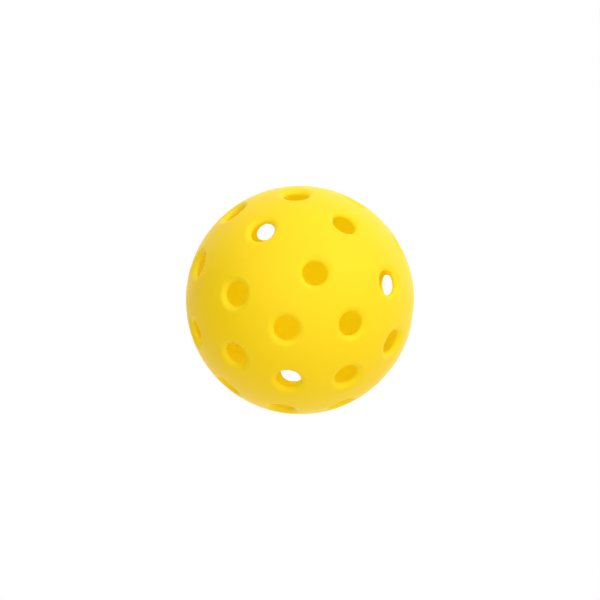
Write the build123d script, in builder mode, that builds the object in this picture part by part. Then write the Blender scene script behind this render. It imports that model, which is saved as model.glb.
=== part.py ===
from build123d import *
import os
from math import asin, cos, radians, sin, sqrt, tan

# A perforated hollow ball for the outdoor paddle game: two identical moulded
# half shells, welded rim to rim on the ball's equator.
#
# Frame: origin at the ball's centre, +Z through the solid pole of the upper
# half, and the welded seam in the XY plane. Millimetres, and degrees for angles.

# ---------------------------------------------------------------- driving sizes
ball_diameter = 74.0  # outside, over the welded seam as well
wall = 2.0  # shell wall
hole_diameter = 7.94  # straight bore of every vent hole
mouth_diameter = 12.0  # where the soft mouth of a hole leaves the outside
bore_land = 0.30  # length of the straight bore, below the mouth
core_break = 0.15  # small round on the inside edge of the bore
mouth_step = 3.0  # degrees by which the mouth's edge turns away from the sphere
mouth_handle = 0.45  # pull of the mouth's curve to its corner; 0.55 is near an ellipse
seam_web = 0.30  # fused plastic between the two rims
bead_height = 0.55  # how far the weld bead stands in from the wall
bead_width = 2.4  # whole width of the double-rolled bead, both halves
bead_notch = 0.22  # height of the bead in the crease between its two rolls

# Rings of holes in each half; the pole and the equator stay solid.
# (angle from the pole, number of holes, azimuth of the first hole)
hole_rings = (
    (21.8, 4, 0.0),
    (49.7, 8, 22.5),
    (75.4, 8, 0.0),
)

# The lower half is the upper one turned over about a horizontal axis at this
# azimuth, which sets its holes about half a pitch round, though not exactly.
turn_over_azimuth = 12.1

# The spheres' start line, at an azimuth between the holes of all three rings.
start_azimuth = 34.9

# How far the pin that cuts a hole stands clear of the wall.
pin_inner_clearance = 4.0
pin_outer_clearance = 2.0
pin_side_clearance = 1.0  # beyond the mouth's edge

rim_tolerance = 0.05  # for finding the edges that lie on the inner sphere

# ------------------------------------------------------------ derived dimensions
outer_radius = ball_diameter / 2
inner_radius = outer_radius - wall
hole_radius = hole_diameter / 2
mouth_radius = mouth_diameter / 2
half_web = seam_web / 2
half_bead = bead_width / 2


def on_sphere(radius, z):
    """Distance from the Z axis of a point on a sphere of this radius at height z."""
    return sqrt(radius**2 - z**2)


def section_point(radius, z):
    """The point at height z on a sphere's outline, in the XZ section."""
    return (on_sphere(radius, z), z)


def hole_planes():
    """One plane per hole, at the ball's centre, with its z axis along the hole."""
    planes = []
    for polar, count, first in hole_rings:
        for i in range(count):
            azimuth = radians(first + i * 360 / count)
            out = Vector(
                sin(radians(polar)) * cos(azimuth),
                sin(radians(polar)) * sin(azimuth),
                cos(radians(polar)),
            )
            planes.append(Plane(origin=(0, 0, 0), z_dir=out))
    return planes


def make_vent_pin():
    """The solid that cuts one vent hole: a straight core flaring out to the mouth."""
    # Heights above the ball's centre. The bore starts where the round on its
    # inside edge ends.
    bore_bottom = on_sphere(inner_radius + core_break, hole_radius + core_break)
    bore_top = bore_bottom + bore_land
    mouth_top = on_sphere(outer_radius, mouth_radius)
    pin_bottom = inner_radius - pin_inner_clearance
    pin_top = outer_radius + pin_outer_clearance
    pin_radius = mouth_radius + pin_side_clearance

    # The mouth leaves the outside nearly level and bends down into the bore. The
    # tangents at the curve's two ends meet in a corner over the bore's edge.
    edge_slope = asin(mouth_radius / outer_radius) - radians(mouth_step)
    mouth_width = mouth_radius - hole_radius
    corner_height = mouth_top + mouth_width * tan(edge_slope)

    bore_edge = (hole_radius, bore_top)
    mouth_edge = (mouth_radius, mouth_top)

    with BuildPart() as pin:
        with BuildSketch(Plane.XZ):
            with BuildLine():
                Polyline((0, pin_bottom), (hole_radius, pin_bottom), bore_edge)
                Bezier(
                    bore_edge,
                    (hole_radius, bore_top + mouth_handle * (corner_height - bore_top)),
                    (
                        mouth_radius - mouth_handle * mouth_width,
                        mouth_top + mouth_handle * (corner_height - mouth_top),
                    ),
                    mouth_edge,
                )
                # On past the mouth along its end tangent, then up and back to the axis.
                Polyline(
                    mouth_edge,
                    (pin_radius, mouth_top - pin_side_clearance * tan(edge_slope)),
                    (pin_radius, pin_top),
                    (0, pin_top),
                    (0, pin_bottom),
                )
            make_face()
        revolve(axis=Axis.Z)
    return pin.part


def make_upper_half_shell():
    """A hollow half sphere whose flat rim stands half a seam web above the equator."""
    vent_pin = make_vent_pin()
    with BuildPart() as shell:
        Sphere(outer_radius, rotation=(0, 0, start_azimuth))
        Sphere(inner_radius, rotation=(0, 0, start_azimuth), mode=Mode.SUBTRACT)
        split(bisect_by=Plane.XY.offset(half_web), keep=Keep.TOP)

        with Locations(*hole_planes()):
            add(vent_pin, mode=Mode.SUBTRACT)

        # Round the inside edge of each bore. The bore's own straight line is skipped.
        bores = shell.faces().filter_by(GeomType.CYLINDER)
        rims = bores.edges().filter_by(GeomType.LINE, reverse=True)
        fillet(
            rims.filter_by(lambda e: abs((e @ 0.5).length - inner_radius) < rim_tolerance),
            radius=core_break,
        )
    shell.part.label = "upper_half_shell"
    return shell.part


def make_lower_half_shell(upper_half):
    """The same moulding, turned over."""
    azimuth = radians(turn_over_azimuth)
    turn_over_axis = Axis((0, 0, 0), (cos(azimuth), sin(azimuth), 0))
    with BuildPart() as shell:
        add(upper_half.rotate(turn_over_axis, 180))
    shell.part.label = "lower_half_shell"
    return shell.part


def make_seam_weld():
    """A web across the wall, flush outside, with a double-rolled bead inside."""
    # Corners of the section
    outer_top = section_point(outer_radius, half_web)
    outer_bottom = section_point(outer_radius, -half_web)
    inner_top = section_point(inner_radius, half_web)
    inner_bottom = section_point(inner_radius, -half_web)
    bead_top = section_point(inner_radius, half_bead)
    bead_bottom = section_point(inner_radius, -half_bead)
    crease = (inner_radius - bead_notch, 0)

    # Middle of each arc where the bead lies on the wall, and crest of each roll
    foot_z = (half_web + half_bead) / 2
    crest_x = inner_radius - bead_height
    crest_z = half_bead / 2

    with BuildPart() as weld:
        with BuildSketch(Plane.XZ):
            with BuildLine():
                ThreePointArc(outer_bottom, (outer_radius, 0), outer_top)
                Line(outer_top, inner_top)
                ThreePointArc(inner_top, section_point(inner_radius, foot_z), bead_top)
                ThreePointArc(bead_top, (crest_x, crest_z), crease)
                ThreePointArc(crease, (crest_x, -crest_z), bead_bottom)
                ThreePointArc(
                    bead_bottom, section_point(inner_radius, -foot_z), inner_bottom
                )
                Line(inner_bottom, outer_bottom)
            make_face()
        revolve(axis=Axis.Z)
    weld.part.label = "seam_weld"
    return weld.part


upper_half_shell = make_upper_half_shell()
lower_half_shell = make_lower_half_shell(upper_half_shell)
seam_weld = make_seam_weld()

os.makedirs("parts", exist_ok=True)
export_step(upper_half_shell, "parts/upper_half_shell.step")
export_step(lower_half_shell, "parts/lower_half_shell.step")
export_step(seam_weld, "parts/seam_weld.step")
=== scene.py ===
"""A hollow perforated plastic ball, moulded as two half shells and welded at the middle.

The ball is centred on the origin and its seam lies in the plane z = 0. The lower half is
the upper one turned over about a horizontal axis. Meshes are worked out in millimetres
and built in metres.
"""

import math

import bmesh
import bpy
import numpy as np
from mathutils import Matrix, Vector
from mathutils.geometry import delaunay_2d_cdt


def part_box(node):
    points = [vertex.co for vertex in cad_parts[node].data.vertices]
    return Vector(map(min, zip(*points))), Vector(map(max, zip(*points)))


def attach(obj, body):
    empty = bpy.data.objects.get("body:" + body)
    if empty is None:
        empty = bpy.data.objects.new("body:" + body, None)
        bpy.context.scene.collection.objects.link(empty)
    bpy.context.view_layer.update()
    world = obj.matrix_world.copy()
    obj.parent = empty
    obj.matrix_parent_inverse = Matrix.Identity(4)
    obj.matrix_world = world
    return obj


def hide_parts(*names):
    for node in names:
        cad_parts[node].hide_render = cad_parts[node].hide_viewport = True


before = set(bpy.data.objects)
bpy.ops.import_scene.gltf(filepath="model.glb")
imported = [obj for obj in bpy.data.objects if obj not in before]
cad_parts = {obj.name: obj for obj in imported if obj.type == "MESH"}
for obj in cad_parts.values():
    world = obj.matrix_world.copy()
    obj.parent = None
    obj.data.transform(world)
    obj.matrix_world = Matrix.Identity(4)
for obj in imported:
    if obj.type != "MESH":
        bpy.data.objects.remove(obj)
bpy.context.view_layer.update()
scene = bpy.context.scene
MM = 0.001

# ------------------------------------------------------------------ sizes, mm
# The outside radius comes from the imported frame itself, so the two can't drift apart.
weld_lo, weld_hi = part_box("seam_weld")
BALL_R = (weld_hi.x - weld_lo.x) / 2 / MM
WALL = 2.0
INNER_R = BALL_R - WALL

HOLE_R = 3.97  # straight bore
MOUTH_R = 6.0  # where the soft mouth meets the outer sphere
LAND = 0.30  # length of the straight bore
CORE_BREAK = 0.15  # rounding of the bore's inner edge
MOUTH_STEP = math.radians(3.0)  # how much flatter the mouth starts than the sphere
OUTER_PULL = 0.45  # pull of the mouth curve's handles, as a share of the way
INNER_PULL = 0.45  # to the corner where its end tangents meet
# rings of holes: angle from the pole, number of holes, azimuth of the first (degrees)
HOLE_RINGS = ((21.8, 4, 0.0), (49.7, 8, 22.5), (75.4, 8, 0.0))
TURN_OVER_AZ = 12.1  # azimuth of the axis the lower half is turned about, degrees

HALF_WEB = 0.15  # half the gap between the rims at the inner sphere
HALF_LINE = 0.02  # and at the outer one, where it is dressed to a hairline
WELD_GAP = 0.004  # clearance between weld and shell
DRESSED_GAP = 0.001  # how far the weld's outer face lies under the sphere
ROLL_REACH = 1.2  # how far the weld's rolls spread from the seam, up and down
ROLL_HEIGHT = 0.56
VALLEY_HEIGHT = 0.22  # of the groove between the two rolls

# ------------------------------------------------------------------ mesh density
HOLE_POINTS = 72
RIM_POINTS = 320
WELD_POINTS = 480
OUT_STEP = 0.95  # mesh pitch on the outer sphere, mm
IN_STEP = 1.30  # and on the inner one
COLLAR_GROWTH = 1.22  # each collar of points round a hole is this much wider
MOUTH_STEPS = 12
BREAK_STEPS = 3
OUTSIDE_BANDS = 3  # bands of a mouth, from its edge, that take the outer face's material
WALL_STEPS = 4  # weld rows up the inner wall
ROLL_STEPS = 10
RELAX_SWEEPS = 2
RELAX_STEPS = 12
SHARP_ANGLE = math.radians(35)

# Where a face of a shell is, which is also its material slot
OUTER, INNER, RIM, BORE = range(4)


# ------------------------------------------------------------------ mesh tools
def unit(vectors):
    return vectors / np.linalg.norm(vectors, axis=-1, keepdims=True)


def full_turn(count, phase=0.0):
    return (np.arange(count) + phase) * 2 * np.pi / count


def level_ring(angles, radius, z):
    """Points round the Z axis; radius and z are single values or one per point."""
    return np.column_stack(
        [radius * np.cos(angles), radius * np.sin(angles), np.broadcast_to(z, angles.shape)]
    )


def circle(axis, radius, along, count, phase=0.0):
    """Points on a circle about an axis through the centre, at a height along it."""
    across = unit(np.cross((0.0, 0.0, 1.0), axis))
    up = np.cross(axis, across)
    angles = full_turn(count, phase)
    spokes = np.cos(angles)[:, None] * across + np.sin(angles)[:, None] * up
    return along * axis + radius * spokes


def quad_strip(first, second):
    """Quads between two closed rings of point numbers."""
    pairs = list(zip(first.tolist(), second.tolist()))
    return [(a, b, d, c) for (a, c), (b, d) in zip(pairs, pairs[1:] + pairs[:1])]


def make_object(name, verts, faces):
    """Smooth-shaded object with its faces pointing outwards and real corners sharp."""
    mesh = bpy.data.meshes.new(name)
    mesh.from_pydata((verts * MM).tolist(), [], faces)
    mesh.update()
    mesh.validate()
    for face in mesh.polygons:
        face.use_smooth = True
    ob = bpy.data.objects.new(name, mesh)
    scene.collection.objects.link(ob)
    bm = bmesh.new()
    bm.from_mesh(mesh)
    bmesh.ops.recalc_face_normals(bm, faces=bm.faces)
    for edge in bm.edges:
        edge.smooth = len(edge.link_faces) != 2 or edge.calc_face_angle() < SHARP_ANGLE
    bm.to_mesh(mesh)
    bm.free()
    return ob


# ------------------------------------------------------------------ half shell
def hole_axes():
    axes = []
    for polar_deg, count, first in HOLE_RINGS:
        for i in range(count):
            polar, azimuth = math.radians(polar_deg), math.radians(first + 360 * i / count)
            axes.append((
                math.sin(polar) * math.cos(azimuth),
                math.sin(polar) * math.sin(azimuth),
                math.cos(polar),
            ))
    return np.array(axes)


def hole_profile():
    """Half section of a hole from the outer sphere to the inner one, as (radius from
    the hole's axis, height along it): soft mouth, straight bore, inner break."""
    break_r = HOLE_R + CORE_BREAK
    bottom = math.sqrt((INNER_R + CORE_BREAK) ** 2 - break_r**2)
    top = bottom + LAND
    edge = math.sqrt(BALL_R**2 - MOUTH_R**2)
    slope = math.asin(MOUTH_R / BALL_R) - MOUTH_STEP
    corner = edge + (MOUTH_R - HOLE_R) * math.tan(slope)
    controls = (
        (MOUTH_R, edge),
        (MOUTH_R - OUTER_PULL * (MOUTH_R - HOLE_R), edge + OUTER_PULL * (corner - edge)),
        (HOLE_R, top + INNER_PULL * (corner - top)),
        (HOLE_R, top),
    )
    profile = []
    for i in range(MOUTH_STEPS + 1):
        u = i / MOUTH_STEPS
        weights = ((1 - u) ** 3, 3 * u * (1 - u) ** 2, 3 * u * u * (1 - u), u**3)
        profile.append(
            tuple(sum(w * point[k] for w, point in zip(weights, controls)) for k in (0, 1))
        )
    end = math.pi + math.atan2(bottom, break_r)
    for i in range(BREAK_STEPS + 1):
        angle = math.pi + (end - math.pi) * i / BREAK_STEPS
        profile.append(
            (break_r + CORE_BREAK * math.cos(angle), bottom + CORE_BREAK * math.sin(angle))
        )
    return profile


def triangulate(points, rings):
    """Delaunay triangles over unit-sphere points. rings are index arrays of closed
    loops whose edges are kept; all but the first are left open inside."""
    # Spread stereographically on the plane, circles stay circles, so a Delaunay mesh
    # of the plane is one of the sphere too.
    plane = points[:, :2] / (1 + points[:, 2:3])
    edges = []
    for ring in rings:
        loop = ring.tolist()
        edges += zip(loop, loop[1:] + loop[:1])
    _, _, faces, origins, _, _ = delaunay_2d_cdt(
        [Vector(p) for p in plane.tolist()], edges, [], 0, 1e-9, True
    )
    index = [origin[0] for origin in origins]
    tri = np.array([[index[i] for i in face] for face in faces])
    ring_of = np.full(len(points), -1)
    for k, ring in enumerate(rings[1:]):
        ring_of[ring] = k
    q = ring_of[tri]
    in_hole = (q[:, 0] >= 0) & (q[:, 0] == q[:, 1]) & (q[:, 0] == q[:, 2])
    tri = tri[~in_hole]
    a, b, c = plane[tri[:, 0]], plane[tri[:, 1]], plane[tri[:, 2]]
    turn = (b[:, 0] - a[:, 0]) * (c[:, 1] - a[:, 1]) - (b[:, 1] - a[:, 1]) * (c[:, 0] - a[:, 0])
    tri[turn < 0] = tri[turn < 0][:, ::-1]
    return tri[np.abs(turn) > 1e-12]


def relax(on, tri, fixed):
    """Move unit-sphere points from number fixed on toward their neighbours' mean."""
    edges = np.vstack([tri[:, [0, 1]], tri[:, [1, 2]], tri[:, [2, 0]]])
    total = np.zeros_like(on)
    count = np.zeros(len(on))
    for here, there in ((0, 1), (1, 0)):
        np.add.at(total, edges[:, here], on[edges[:, there]])
        np.add.at(count, edges[:, here], 1)
    mean = total / np.maximum(count, 1)[:, None]
    on[fixed:] = unit(on[fixed:] * 0.4 + mean[fixed:] * 0.6)


def perforated_cap(radius, hole_edge, rim_z, step, spiral_turn):
    """Mesh of one sphere surface of the half shell: round every hole it grades from the
    hole's own ring of points out to an even mesh. Returns points, triangles, rings."""
    axes = hole_axes()
    edge_r, edge_along = hole_edge
    angles = full_turn(RIM_POINTS)
    points = [level_ring(angles, math.sqrt(radius**2 - rim_z**2), rim_z)]
    rings = [np.arange(RIM_POINTS)]
    for k, axis in enumerate(axes):
        points.append(circle(axis, edge_r, edge_along, HOLE_POINTS))
        rings.append(RIM_POINTS + k * HOLE_POINTS + np.arange(HOLE_POINTS))
    # one row next to the rim, which stays put as well
    drop = 2 * np.pi * radius / RIM_POINTS * 0.95
    row_z = rim_z + drop
    row_r = math.sqrt(radius**2 - row_z**2)
    points.append(level_ring(angles + np.pi / RIM_POINTS, row_r, row_z))
    fixed = sum(len(p) for p in points)
    # collars that grow away from each hole
    angle = math.asin(edge_r / radius)
    grow = 2 * np.pi * edge_r / HOLE_POINTS * 0.9
    collars = []
    phase = 0.5
    while grow < step * 0.98:
        angle += grow / radius
        collars.append((angle, phase))
        phase = 0.5 - phase
        grow *= COLLAR_GROWTH
    reach = angle + 0.75 * step / radius
    for k, axis in enumerate(axes):
        for angle, phase in collars:
            collar = circle(
                axis, radius * math.sin(angle), radius * math.cos(angle), HOLE_POINTS, phase
            )
            # where two collars, or a collar and the rim, would run into each other, a
            # point stays with its own hole
            own = ((collar @ axes.T).argmax(1) == k) & (collar[:, 2] > row_z + drop * 0.5)
            points.append(collar[own])
    # even spiral of points for the rest
    total = int(4 * np.pi * radius**2 / (step**2 * 0.866))
    k = np.arange(total // 2 + 2)
    z = 1 - (2 * k + 1) / total
    golden = k * math.pi * (3 - math.sqrt(5)) + spiral_turn
    spiral = level_ring(golden, np.sqrt(np.maximum(1 - z * z, 0)), z)
    spiral = spiral[spiral[:, 2] * radius > row_z + drop * 0.8]
    spiral = spiral[(spiral @ axes.T).max(1) < math.cos(reach)]
    points.append(spiral * radius)

    points = np.vstack(points)
    on = unit(points)
    tri = triangulate(on, rings)
    for _ in range(RELAX_SWEEPS):
        for _ in range(RELAX_STEPS):
            relax(on, tri, fixed)
        tri = triangulate(on, rings)
    out = on * radius
    out[:fixed] = points[:fixed]
    return out, tri, rings


def half_shell():
    """Points and faces of the closed upper half, and where each face is."""
    profile = hole_profile()
    out_verts, out_tri, out_rings = perforated_cap(
        BALL_R, profile[0], HALF_LINE, OUT_STEP, spiral_turn=0.3
    )
    in_verts, in_tri, in_rings = perforated_cap(
        INNER_R, profile[-1], HALF_WEB, IN_STEP, spiral_turn=1.1
    )
    verts = [out_verts, in_verts]
    offset = len(out_verts)
    faces = [tuple(t) for t in out_tri.tolist()]
    faces += [(a + offset, c + offset, b + offset) for a, b, c in in_tri.tolist()]
    where = [OUTER] * len(out_tri) + [INNER] * len(in_tri)
    # the holes' own walls: a grid of quads from the outer ring to the inner one
    start = offset + len(in_verts)
    for axis, out_ring, in_ring in zip(hole_axes(), out_rings[1:], in_rings[1:]):
        rows = [out_ring]
        for radius, along in profile[1:-1]:
            verts.append(circle(axis, radius, along, HOLE_POINTS))
            rows.append(np.arange(start, start + HOLE_POINTS))
            start += HOLE_POINTS
        rows.append(in_ring + offset)
        for band, (first, second) in enumerate(zip(rows[:-1], rows[1:])):
            faces += quad_strip(first, second)
            # bands deeper than these take the mouth's lighter colour, which is painted glow
            where += [OUTER if band < OUTSIDE_BANDS else BORE] * HOLE_POINTS
    # the flat rim, wound the other way
    faces += [(a, d, c, b) for a, b, c, d in quad_strip(out_rings[0], in_rings[0] + offset)]
    where += [RIM] * RIM_POINTS
    return np.vstack(verts), faces, where


# ------------------------------------------------------------------ weld
# Wander of the rolls: share, waves round the seam, phase
WANDER = ((0.35, 5, 0.7), (0.30, 11, 2.1), (0.20, 23, 4.0), (0.15, 41, 1.3))


def weld_ring():
    """The web between the rims and the two rolls of squeezed-out plastic inside. The
    rolls wander a little, as a melt does. Returns points, faces, number of bands."""

    def wall_radius(z):
        return math.sqrt((INNER_R - WELD_GAP) ** 2 - z * z)

    angles = full_turn(WELD_POINTS)
    wander = sum(share * np.sin(waves * angles + phase) for share, waves, phase in WANDER)
    shifted = np.roll(wander, 61)
    # every row is (radius, z); first the outside, dressed flush with the sphere
    line = HALF_LINE - WELD_GAP
    rows = [(math.sqrt((BALL_R - DRESSED_GAP) ** 2 - z * z), z) for z in (-line, 0.0, line)]
    # up the inner wall from the web
    web = HALF_WEB - WELD_GAP
    levels = [web + (ROLL_REACH - web) * i / WALL_STEPS for i in range(WALL_STEPS + 1)]
    wall = [(wall_radius(z), z) for z in levels]
    # over the upper roll, back to the seam
    roll = []
    for i in range(1, ROLL_STEPS):
        share = i / ROLL_STEPS
        angle = math.pi * share
        foot_z = ROLL_REACH * (1 - share)
        z = foot_z + 0.10 * math.sin(2 * angle)
        height = ROLL_HEIGHT * math.sin(angle) ** 0.75 + VALLEY_HEIGHT * share
        roll.append((
            wall_radius(foot_z) - height * (1 + 0.10 * wander),
            z + 0.05 * wander * math.sin(angle),
        ))
    rows += wall + roll
    rows.append((INNER_R - VALLEY_HEIGHT + 0.03 * wander, 0.0))
    # the lower roll mirrors the upper one, with a wander of its own on top
    rows += [(r + 0.02 * shifted, -z + 0.02 * shifted) for r, z in reversed(roll)]
    rows += [(r, -z) for r, z in reversed(wall)]
    verts = np.vstack([level_ring(angles, r, z) for r, z in rows])
    rings = np.arange(len(verts)).reshape(len(rows), WELD_POINTS)
    faces = []
    for first, second in zip(rings, np.roll(rings, -1, axis=0)):
        faces += quad_strip(first, second)
    return verts, faces, len(rows)


# ------------------------------------------------------------------ the pieces
shell_verts, shell_faces, shell_where = half_shell()
upper = make_object("upper_half", shell_verts, shell_faces)

turn_az = math.radians(TURN_OVER_AZ)
turn_over = np.array(
    Matrix.Rotation(math.pi, 3, Vector((math.cos(turn_az), math.sin(turn_az), 0)))
)
lower = make_object("lower_half", shell_verts @ turn_over.T, shell_faces)

weld_verts, weld_faces, weld_bands = weld_ring()
weld = make_object("weld_ring", weld_verts, weld_faces)

for ob, cad_name, slot in (
    (upper, "upper_half_shell", "shell"),
    (lower, "lower_half_shell", "shell"),
    (weld, "seam_weld", "weld"),
):
    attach(ob, "root")
    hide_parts(cad_name)


# ------------------------------------------------------------------ materials
def empty_tree(owner):
    """Node tree of a material or world, cleared, and its link function."""
    owner.use_nodes = True
    owner.node_tree.nodes.clear()
    return owner.node_tree, owner.node_tree.links.new


def node(tree, kind, inputs=(), **properties):
    """New node; inputs maps an input's name or number to its value."""
    new = tree.nodes.new(kind)
    for key, value in properties.items():
        setattr(new, key, value)
    for key, value in dict(inputs).items():
        new.inputs[key].default_value = value
    return new


# The dye looks deeper in the light it sends back than in the light it lets through, so
# each face has two colours: (sent back, let through).
OUTSIDE = ((0.97, 0.710, 0.004), (0.97, 0.94, 0.004))
# painted glow: the mouth's colour is a lighter copy of the outer face's, standing in for the
# light that comes out through its thin edges
MOUTH_PAINTED_GLOW = ((0.97, 0.75, 0.004), (0.97, 0.95, 0.004))
# painted glow: the inner faces take a lighter copy of the plastic's colour, standing in for the
# glow of the lit hollow
INSIDE_PAINTED_GLOW = ((0.99, 0.868, 0.004), (0.99, 0.99, 0.004))
# painted light: the bead is made lighter than the plastic so the shade it sits in against the
# wall does not show
BEAD_PAINTED_LIGHT = ((0.97, 0.88, 0.004), (0.97, 0.90, 0.004))
# painted glow: the hairline's colour copies the glowing wall's look under its light
HAIRLINE_PAINTED_GLOW = ((0.93, 0.66, 0.004),) * 2
FUSED = ((0.985, 0.96, 0.25),) * 2
GLOW_OUT = 0.25  # share of the light that an outer face of the wall lets through
GLOW_IN = 0.50  # and an inner face
SHEEN = 0.23  # strength of the surface's own reflection, 0.5 being a bare IOR of 1.5
ROUGH_SPREAD = 0.05  # unevenness of the satin finish, either way
PEEL_SHARE = 1.6  # height of the orange peel against the grain


def plastic(name, colours, rough, bump_mm, glow):
    """Moulded polyethylene: dyed through, satin, lets a little light in."""
    material = bpy.data.materials.new(name)
    tree, link = empty_tree(material)
    output = node(tree, "ShaderNodeOutputMaterial")
    surface = node(
        tree,
        "ShaderNodeBsdfPrincipled",
        {"IOR": 1.5, "Specular IOR Level": SHEEN / max(1 - glow, 0.4)},
    )
    coords = node(tree, "ShaderNodeTexCoord")

    def noise(scale, detail, roughness):
        texture = node(
            tree,
            "ShaderNodeTexNoise",
            {"Scale": scale, "Detail": detail, "Roughness": roughness},
        )
        link(coords.outputs["Object"], texture.inputs["Vector"])
        return texture.outputs["Fac"]

    # broad, faint clouding of the pigment
    cloud = noise(scale=55.0, detail=3.0, roughness=0.55)
    dyes = []
    for colour in colours:
        light = (*[min(1.01 * v, 0.995) for v in colour], 1)
        dark = (*[0.99 * v for v in colour], 1)
        # inputs 6 and 7 are the two colours
        dye = node(tree, "ShaderNodeMix", {6: light, 7: dark}, data_type="RGBA")
        link(cloud, dye.inputs[0])
        dyes.append(dye.outputs[2])
    link(dyes[0], surface.inputs["Base Color"])
    # satin finish, a little uneven
    uneven = noise(scale=420.0, detail=4.0, roughness=0.6)
    satin = node(
        tree,
        "ShaderNodeMapRange",
        {"To Min": rough - ROUGH_SPREAD, "To Max": rough + ROUGH_SPREAD},
    )
    link(uneven, satin.inputs["Value"])
    link(satin.outputs["Result"], surface.inputs["Roughness"])
    # fine grain of the mould, and a much slower orange peel
    grain = noise(scale=5200.0, detail=2.0, roughness=0.5)
    peel = noise(scale=650.0, detail=1.0, roughness=0.4)
    relief = node(tree, "ShaderNodeMath", {1: PEEL_SHARE}, operation="MULTIPLY_ADD")
    link(peel, relief.inputs[0])
    link(grain, relief.inputs[2])
    bump = node(tree, "ShaderNodeBump", {"Strength": 1.0, "Distance": bump_mm * MM})
    link(relief.outputs[0], bump.inputs["Height"])
    link(bump.outputs["Normal"], surface.inputs["Normal"])
    # light that soaks through the wall from the other side
    soak = node(tree, "ShaderNodeBsdfTranslucent")
    link(dyes[1], soak.inputs["Color"])
    link(bump.outputs["Normal"], soak.inputs["Normal"])
    both = node(tree, "ShaderNodeMixShader", {0: glow})
    link(surface.outputs[0], both.inputs[1])
    link(soak.outputs[0], both.inputs[2])
    link(both.outputs[0], output.inputs["Surface"])
    return material


outside = plastic("shell_polyethylene", OUTSIDE, rough=0.50, bump_mm=0.004, glow=GLOW_OUT)
# the inner faces' lighter colour is painted glow
inside = plastic("shell_polyethylene_inside_painted_glow", INSIDE_PAINTED_GLOW, rough=0.46, bump_mm=0.006, glow=GLOW_IN)
# the mouth's lighter colour is painted glow
mouth = plastic("shell_polyethylene_mouth_painted_glow", MOUTH_PAINTED_GLOW, rough=0.50, bump_mm=0.004, glow=GLOW_OUT)
# the bead's lighter colour is painted light against its shade
bead_painted_light = plastic("weld_polyethylene", BEAD_PAINTED_LIGHT, rough=0.36, bump_mm=0.003, glow=0.0)
# Where web and rims are fused, no surface stops the light. Those hidden faces send back
# nearly all that reaches them, so that the wall glows evenly right up to the seam.
fused = plastic("weld_polyethylene_fused", FUSED, rough=0.50, bump_mm=0.004, glow=0.0)
# What shows of the web is a matte hairline with the glowing wall's look painted in: its colour
# is the colour that the glowing wall shows, glow included.
painted_glow_hairline = plastic("weld_polyethylene_dressed_painted_glow", HAIRLINE_PAINTED_GLOW, rough=0.50, bump_mm=0.004, glow=0.0)

for ob in (upper, lower):
    for material in (outside, inside, fused, mouth):
        ob.data.materials.append(material)
    for face in ob.data.polygons:
        face.material_index = shell_where[face.index]

for material in (bead_painted_light, painted_glow_hairline, fused):
    weld.data.materials.append(material)
# the outer face is the dressed hairline with its painted glow, the web's two hidden faces
# beside it are fused
weld_slots = {0: 1, 1: 1, 2: 2, weld_bands - 1: 2}
for face in weld.data.polygons:
    face.material_index = weld_slots.get(face.index // WELD_POINTS, 0)


# ------------------------------------------------------------------ floor
def floor_paper():
    """Pale paper seen from above, clear from below, fading to white far out."""
    material = bpy.data.materials.new("floor_paper")
    tree, link = empty_tree(material)
    output = node(tree, "ShaderNodeOutputMaterial")
    geometry = node(tree, "ShaderNodeNewGeometry")
    paper = node(tree, "ShaderNodeBsdfDiffuse", {"Color": (0.80, 0.80, 0.79, 1)})
    far = node(tree, "ShaderNodeEmission")
    distance = node(tree, "ShaderNodeVectorMath", operation="LENGTH")
    link(geometry.outputs["Position"], distance.inputs[0])
    # the fade's start and end, metres from the centre
    fade = node(
        tree,
        "ShaderNodeMapRange",
        {"From Min": 0.25, "From Max": 3.0},
        interpolation_type="SMOOTHSTEP",
    )
    link(distance.outputs["Value"], fade.inputs["Value"])
    blend = node(tree, "ShaderNodeMixShader")
    link(fade.outputs["Result"], blend.inputs[0])
    link(paper.outputs[0], blend.inputs[1])
    link(far.outputs[0], blend.inputs[2])
    clear = node(tree, "ShaderNodeBsdfTransparent")
    side = node(tree, "ShaderNodeMixShader")
    link(geometry.outputs["Backfacing"], side.inputs[0])
    link(blend.outputs[0], side.inputs[1])
    link(clear.outputs[0], side.inputs[2])
    link(side.outputs[0], output.inputs["Surface"])
    return material


# The floor is one-sided: the camera stands below it and looks up through it at the ball.
bpy.ops.mesh.primitive_circle_add(
    vertices=128, radius=9.0, fill_type="NGON", location=(0, 0, -BALL_R * MM)
)
floor = bpy.context.object
floor.name = "floor"
for ray in ("diffuse", "glossy", "transmission", "volume_scatter", "shadow"):
    setattr(floor, "visible_" + ray, False)
floor.data.materials.append(floor_paper())

# ------------------------------------------------------------------ camera
TOWARD = Vector((-0.4563, -0.7617, -0.4600)).normalized()  # from the ball to the camera
RIGHT = Vector((-0.0993, -0.4702, 0.8770)).cross(TOWARD).normalized()
UP = TOWARD.cross(RIGHT).normalized()
CAMERA_DIST = 2.03  # metres from the ball's centre
BALL_ON_SENSOR = 6.852  # radius of the ball's image on the sensor, mm

cam_data = bpy.data.cameras.new("camera")
cam = bpy.data.objects.new("camera", cam_data)
scene.collection.objects.link(cam)
cam.matrix_world = Matrix(
    [(RIGHT[i], UP[i], TOWARD[i], TOWARD[i] * CAMERA_DIST) for i in range(3)] + [(0, 0, 0, 1)]
)
cam_data.sensor_width = 36.0
ball_r_m = BALL_R * MM
cam_data.lens = BALL_ON_SENSOR * math.sqrt(CAMERA_DIST**2 - ball_r_m**2) / ball_r_m
cam_data.clip_start, cam_data.clip_end = 0.05, 60.0
scene.camera = cam

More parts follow.
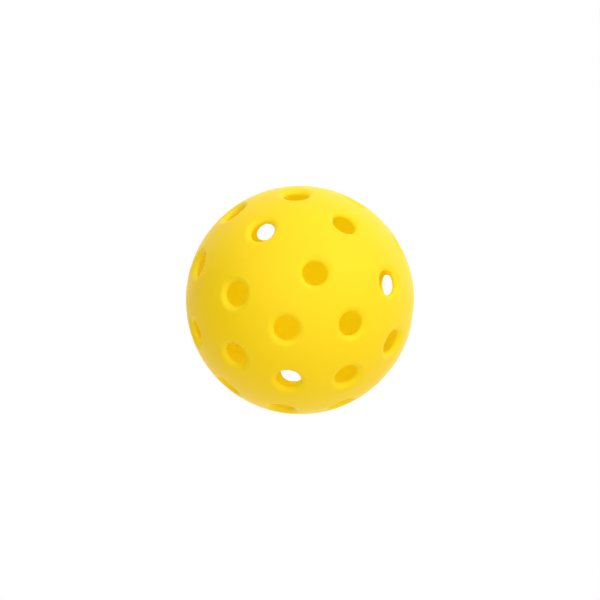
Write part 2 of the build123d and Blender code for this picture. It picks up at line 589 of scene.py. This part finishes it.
# ------------------------------------------------------------------ light
# Soft studio light, all of it from the surroundings. Each line is one big soft source:
# direction as the camera sees it (right, up, toward the camera), how tight, strength.
NEUTRAL = (1.0, 1.0, 1.0)
NEUTRAL_LIGHTS = (
    ((1, 0, 0), 2, 0.704),  # fill from the right
    ((0, 1, 0), 2, 0.634),  # and from above
    ((0, 0, 1), 2, 1.35),  # the room in front
    ((0, 0, -1), 2, 1.5),  # the lit backdrop
    ((0, 0, -1), 12, 1.0),
    ((0.62, 0.62, 0.48), 12, 2.008),  # key, high on the right
    ((-0.62, 0.62, 0.48), 12, 1.109),  # second, high on the left
    ((1, 0, 0.2), 12, 0.327),
    ((0, 1, 0.2), 12, 0.649),
    ((0.6, 0.6, -0.55), 8, 0.724),  # glow round the edges, from behind
    ((-0.6, 0.6, -0.55), 8, 0.36),
)
BOUNCE = (1.0, 0.91, 0.55)  # off the pale floor, which the ball itself warms
BOUNCE_LIGHTS = (
    ((0, -1, 0), 2, 0.853),
    ((-0.6, -0.6, -0.55), 8, 0.706),
)
LIGHT = 0.98  # overall level


def sum_of_lights(tree, look, lights):
    """Output that adds up the sources' strengths in the direction looked in."""
    link = tree.links.new
    total = None
    for (x, y, z), tightness, strength in lights:
        direction = (RIGHT * x + UP * y + TOWARD * z).normalized()
        dot = node(tree, "ShaderNodeVectorMath", {1: direction}, operation="DOT_PRODUCT")
        link(look.outputs["Generated"], dot.inputs[0])
        front = node(tree, "ShaderNodeMath", {1: 0.0}, operation="MAXIMUM")
        link(dot.outputs["Value"], front.inputs[0])
        lobe = node(tree, "ShaderNodeMath", {1: tightness}, operation="POWER")
        link(front.outputs[0], lobe.inputs[0])
        term = node(tree, "ShaderNodeMath", {1: strength * LIGHT}, operation="MULTIPLY_ADD")
        link(lobe.outputs[0], term.inputs[0])
        if total is None:
            term.inputs[2].default_value = 0.0
        else:
            link(total, term.inputs[2])
        total = term.outputs[0]
    return total


def light_world():
    """The soft light, with plain white where the camera sees the surroundings."""
    world = bpy.data.worlds.new("studio")
    scene.world = world
    tree, link = empty_tree(world)
    output = node(tree, "ShaderNodeOutputWorld")
    path = node(tree, "ShaderNodeLightPath")
    look = node(tree, "ShaderNodeTexCoord")
    totals = [
        (colour, sum_of_lights(tree, look, lights))
        for colour, lights in ((NEUTRAL, NEUTRAL_LIGHTS), (BOUNCE, BOUNCE_LIGHTS))
    ]
    white = node(tree, "ShaderNodeBackground", {"Color": (1, 1, 1, 1), "Strength": 1.0})
    soft = node(tree, "ShaderNodeAddShader")
    for i, (colour, total) in enumerate(totals):
        part = node(tree, "ShaderNodeBackground", {"Color": (*colour, 1)})
        link(total, part.inputs["Strength"])
        link(part.outputs[0], soft.inputs[i])
    mix = node(tree, "ShaderNodeMixShader")
    link(path.outputs["Is Camera Ray"], mix.inputs[0])
    link(soft.outputs[0], mix.inputs[1])
    link(white.outputs[0], mix.inputs[2])
    link(mix.outputs[0], output.inputs["Surface"])


light_world()

# ------------------------------------------------------------------ render
scene.view_settings.view_transform = "Standard"
scene.view_settings.look = "None"
scene.view_settings.exposure = 0.0
scene.view_settings.gamma = 1.0
scene.cycles.max_bounces = 24
scene.cycles.diffuse_bounces = 12
scene.cycles.transmission_bounces = 12

bpy.context.view_layer.update()
